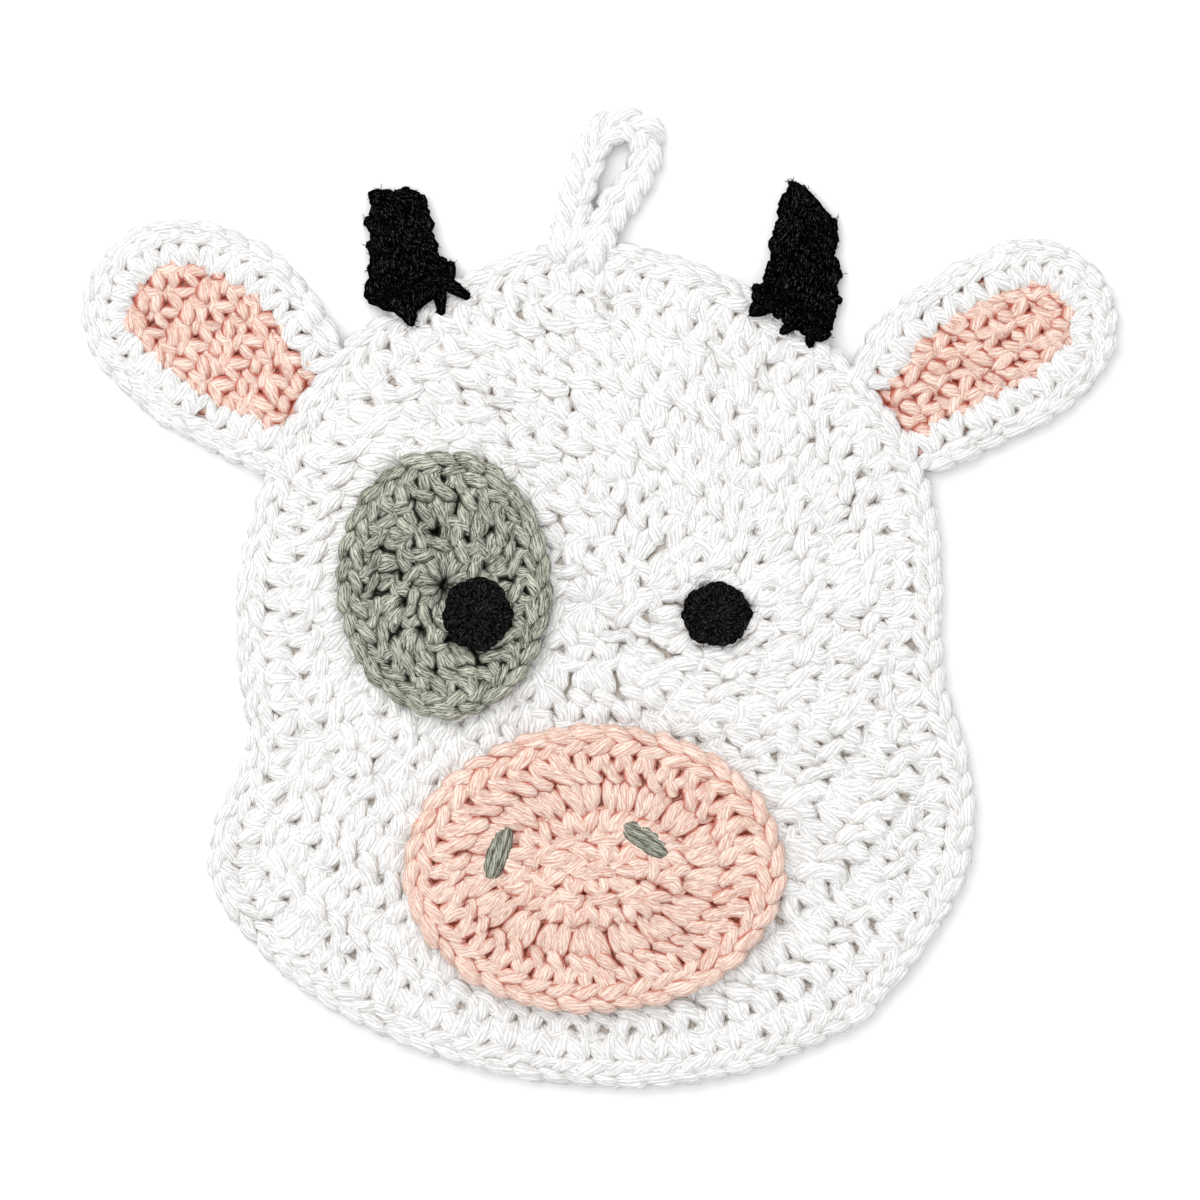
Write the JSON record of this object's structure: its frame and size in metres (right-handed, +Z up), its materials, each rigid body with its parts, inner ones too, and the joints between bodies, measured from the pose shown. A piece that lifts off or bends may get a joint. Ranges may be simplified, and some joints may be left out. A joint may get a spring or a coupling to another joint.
{
  "type": "crochet cow-head trivet",
  "caption": "Flat crocheted cotton trivet shaped as a cow's head, with ears, horns, patch, muzzle and a hanging loop.",
  "frame": {"origin": "under the middle of the whole trivet, on the surface that it lies on", "axes": "+Z up out of the face, +Y towards the hanging loop, +X towards the viewer's right"},
  "size_m": [0.2556, 0.2414, 0.0126],
  "materials": {
    "white_cotton": "matt white cotton yarn, crocheted",
    "pink_cotton": "matt pale pink cotton yarn, crocheted",
    "sage_cotton": "matt grey-green cotton yarn, crocheted",
    "sage_stitch": "grey-green cotton yarn, straight stitches",
    "black_yarn": "fine fuzzy black yarn, crocheted"
  },
  "bodies": {
    "root": {"face": "white_cotton", "ear_left_border": "white_cotton", "ear_left_inner": "pink_cotton", "ear_right_border": "white_cotton", "ear_right_inner": "pink_cotton", "horn_left": "black_yarn", "horn_right": "black_yarn", "hanging_loop": "white_cotton", "patch": "sage_cotton", "muzzle": "pink_cotton", "eye_left": "black_yarn", "eye_right": "black_yarn", "nostril_left": "sage_stitch", "nostril_right": "sage_stitch"}
  },
  "joints": []
}
